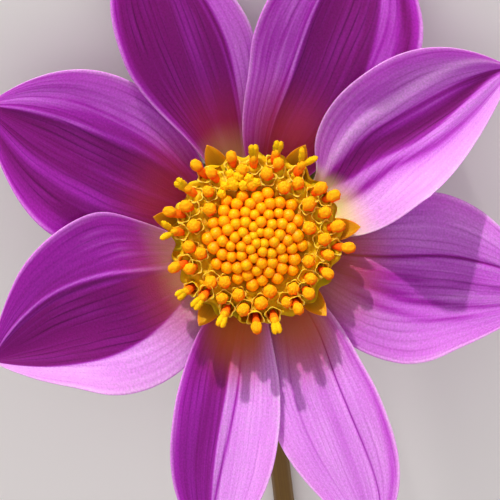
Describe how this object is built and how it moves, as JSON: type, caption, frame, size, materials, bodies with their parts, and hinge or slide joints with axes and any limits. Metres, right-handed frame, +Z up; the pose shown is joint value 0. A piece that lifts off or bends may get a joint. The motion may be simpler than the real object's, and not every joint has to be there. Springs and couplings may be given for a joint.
{
  "type": "dahlia flower",
  "caption": "Single dahlia blossom with magenta-pink ray petals and a golden disc of florets, cut with a length of stem and lying on a flat surface.",
  "frame": {"origin": "centre of the bounding box at the height of the surface that the flower lies on", "axes": "+Z up; +Y from the cut end of the stem towards the head; +X to the right when seen from the stem's end; the head faces up and leans 30 degrees towards +Y"},
  "size_m": [0.087, 0.1467, 0.0414],
  "materials": {
    "petal": "velvety, satin sheen",
    "disc_bud": "waxy, satin",
    "open_floret": "matte with pollen",
    "chaff_scale": "papery, translucent",
    "green_tissue": "fleshy, satin",
    "inner_bract": "membranous, satin",
    "stem": "ribbed skin, satin"
  },
  "bodies": {
    "root": {"chaff_scale_1": "chaff_scale", "chaff_scale_2": "chaff_scale", "chaff_scale_3": "chaff_scale", "chaff_scale_4": "chaff_scale", "chaff_scale_5": "chaff_scale", "chaff_scale_6": "chaff_scale", "disc_buds": "disc_bud", "inner_bract_1": "inner_bract", "inner_bract_2": "inner_bract", "inner_bract_3": "inner_bract", "inner_bract_4": "inner_bract", "inner_bract_5": "inner_bract", "inner_bract_6": "inner_bract", "inner_bract_7": "inner_bract", "inner_bract_8": "inner_bract", "open_floret_01": "open_floret", "open_floret_02": "open_floret", "open_floret_03": "open_floret", "open_floret_04": "open_floret", "open_floret_05": "open_floret", "open_floret_06": "open_floret", "open_floret_07": "open_floret", "open_floret_08": "open_floret", "open_floret_09": "open_floret", "open_floret_10": "open_floret", "open_floret_11": "open_floret", "open_floret_12": "open_floret", "open_floret_13": "open_floret", "open_floret_14": "open_floret", "open_floret_15": "open_floret", "open_floret_16": "open_floret", "open_floret_17": "open_floret", "open_floret_18": "open_floret", "open_floret_19": "open_floret", "open_floret_20": "open_floret", "open_floret_21": "open_floret", "open_floret_22": "open_floret", "open_floret_23": "open_floret", "open_floret_24": "open_floret", "open_floret_25": "open_floret", "open_floret_26": "open_floret", "open_floret_27": "open_floret", "open_floret_28": "open_floret", "open_floret_29": "open_floret", "open_floret_30": "open_floret", "outer_bract_1": "green_tissue", "outer_bract_2": "green_tissue", "outer_bract_3": "green_tissue", "outer_bract_4": "green_tissue", "outer_bract_5": "green_tissue", "petal_bottom_left": "petal", "petal_bottom_right": "petal", "petal_left_lower": "petal", "petal_left_upper": "petal", "petal_right_lower": "petal", "petal_right_upper": "petal", "petal_top_left": "petal", "petal_top_right": "petal", "receptacle": "green_tissue", "stem": "stem"}
  },
  "joints": []
}
